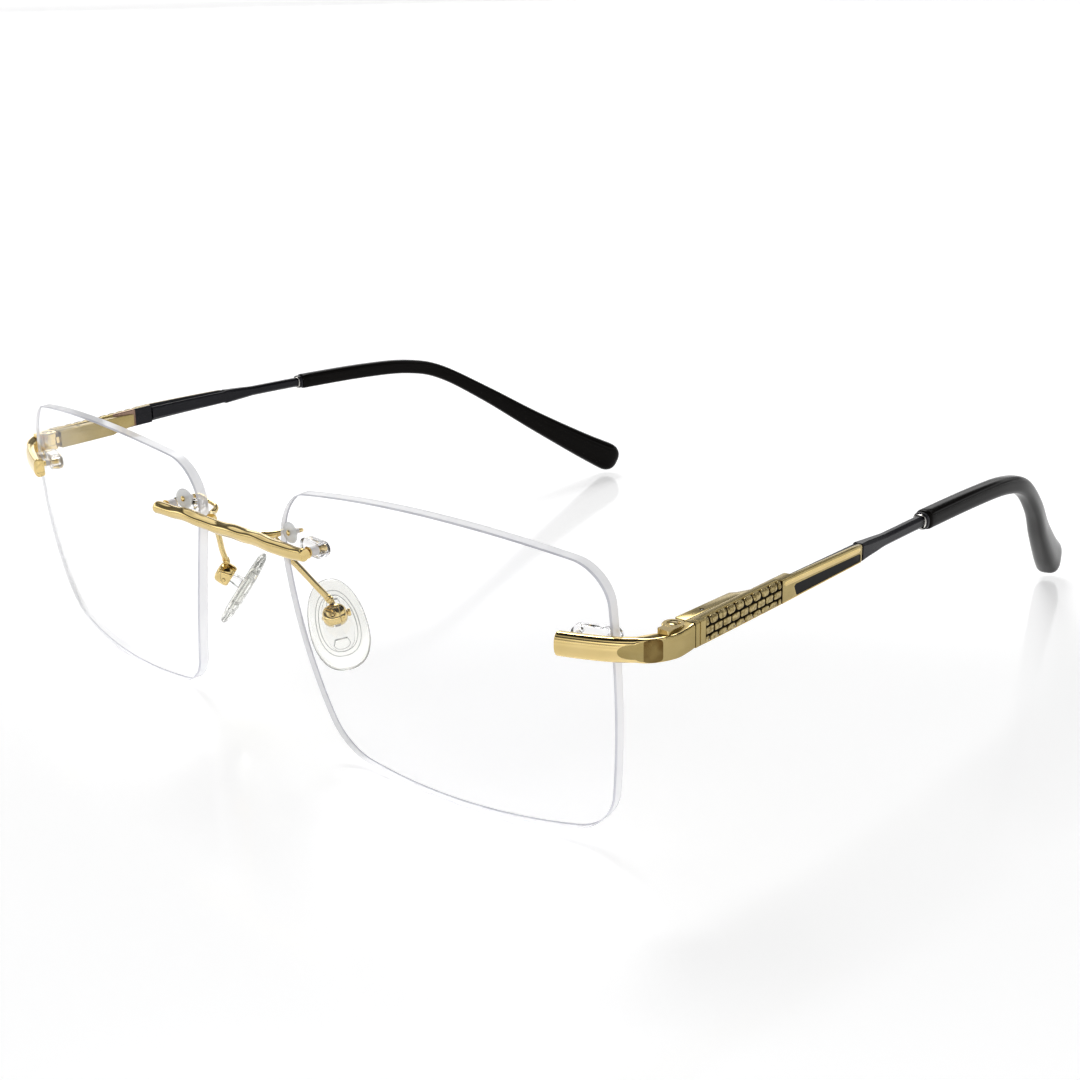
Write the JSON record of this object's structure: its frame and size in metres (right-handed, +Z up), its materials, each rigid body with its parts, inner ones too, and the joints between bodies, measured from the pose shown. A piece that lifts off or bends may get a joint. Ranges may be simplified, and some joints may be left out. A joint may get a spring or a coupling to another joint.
{
  "type": "rimless eyeglasses",
  "caption": "Rimless eyeglasses: drilled clear lenses, a twig-shaped bridge bar, rocking nose pads and sprung folding temples with black ear tips.",
  "frame": {"origin": "on the table under the middle of the whole open frame: the bottom centre of its box", "axes": "+Z up, -Y the way the lenses face, +X towards the wearer's left temple; X is the symmetry axis"},
  "size_m": [0.147, 0.1452, 0.0414],
  "materials": {
    "gold": "polished pale gold plating",
    "lens_clear": "clear resin, polished faces, ground edge",
    "clear_plastic": "clear moulded plastic",
    "pad_silicone": "clear soft silicone",
    "steel": "bright steel",
    "black_enamel": "black enamel, satin",
    "black_metal": "black plating, semi-gloss",
    "black_acetate": "black acetate, polished"
  },
  "bodies": {
    "front": {"bridge_bar": "gold", "lens_left": "lens_clear", "lens_right": "lens_clear", "bridge_post_left": "gold", "bridge_post_right": "gold", "bridge_plug_left": "clear_plastic", "bridge_plug_right": "clear_plastic", "bridge_foot_left": "gold", "bridge_foot_right": "gold", "bridge_washer_left": "clear_plastic", "bridge_washer_right": "clear_plastic", "pad_box_left": "gold", "pad_box_right": "gold", "pad_screw_left": "gold", "pad_screw_right": "gold", "pad_arm_left": "gold", "pad_arm_right": "gold", "endpiece_left": "gold", "endpiece_right": "gold", "endpiece_inner_pin_left": "gold", "endpiece_inner_pin_right": "gold", "endpiece_outer_pin_left": "gold", "endpiece_outer_pin_right": "gold", "endpiece_plug_left": "clear_plastic", "endpiece_plug_right": "clear_plastic", "hinge_screw_left": "gold", "hinge_screw_right": "gold"},
    "hinge_bush_left": {"hinge_bush_left": "steel"},
    "hinge_core_left": {"hinge_core_left": "gold", "hinge_spring_left": "steel"},
    "temple_left": {"spring_casing_left": "gold", "temple_front_left": "gold", "tile_panel_left": "gold", "black_inlay_left": "black_enamel", "temple_rod_left": "black_metal", "ear_tip_left": "black_acetate", "ear_tip_collar_left": "steel"},
    "nose_pad_left": {"nose_pad_left": "pad_silicone", "pad_core_left": "clear_plastic"},
    "hinge_bush_right": {"hinge_bush_right": "steel"},
    "hinge_core_right": {"hinge_core_right": "gold", "hinge_spring_right": "steel"},
    "temple_right": {"spring_casing_right": "gold", "temple_front_right": "gold", "tile_panel_right": "gold", "black_inlay_right": "black_enamel", "temple_rod_right": "black_metal", "ear_tip_right": "black_acetate", "ear_tip_collar_right": "steel"},
    "nose_pad_right": {"nose_pad_right": "pad_silicone", "pad_core_right": "clear_plastic"}
  },
  "joints": [
    {"name": "temple_fold_left", "type": "hinge", "parent": "front", "child": "hinge_bush_left", "pos_m": [0.0712, -0.0582, 0.0302], "axis": [0, 0, 1], "range_deg": [0, 82]},
    {"name": "temple_flex_left", "type": "hinge", "parent": "hinge_bush_left", "child": "hinge_core_left", "pos_m": [0.0712, -0.0582, 0.0302], "axis": [0, 0, -1], "range_deg": [0, 10], "stiffness_Nm_per_rad": 0.35},
    {"name": "spring_slide_left", "type": "slide", "parent": "hinge_core_left", "child": "temple_left", "axis": [0, 1, 0], "range_m": [0, 0.00081]},
    {"name": "pad_rock_left", "type": "hinge", "parent": "front", "child": "nose_pad_left", "pos_m": [0.01331, -0.063, 0.01974], "axis": [0.5761, 0.7992, 0.1716], "range_deg": [-10, 10]},
    {"name": "temple_fold_right", "type": "hinge", "parent": "front", "child": "hinge_bush_right", "pos_m": [-0.0712, -0.0582, 0.0302], "axis": [0, 0, -1], "range_deg": [0, 74]},
    {"name": "temple_flex_right", "type": "hinge", "parent": "hinge_bush_right", "child": "hinge_core_right", "pos_m": [-0.0712, -0.0582, 0.0302], "axis": [0, 0, 1], "range_deg": [0, 10], "stiffness_Nm_per_rad": 0.35},
    {"name": "spring_slide_right", "type": "slide", "parent": "hinge_core_right", "child": "temple_right", "axis": [0, 1, 0], "range_m": [0, 0.00081]},
    {"name": "pad_rock_right", "type": "hinge", "parent": "front", "child": "nose_pad_right", "pos_m": [-0.01331, -0.063, 0.01974], "axis": [0.5761, -0.7992, -0.1716], "range_deg": [-10, 10]}
  ],
  "couplings": [
    {"joint": "spring_slide_left", "follows": "temple_flex_left", "m_per_rad": 0.0045837},
    {"joint": "spring_slide_right", "follows": "temple_flex_right", "m_per_rad": 0.0045837}
  ]
}
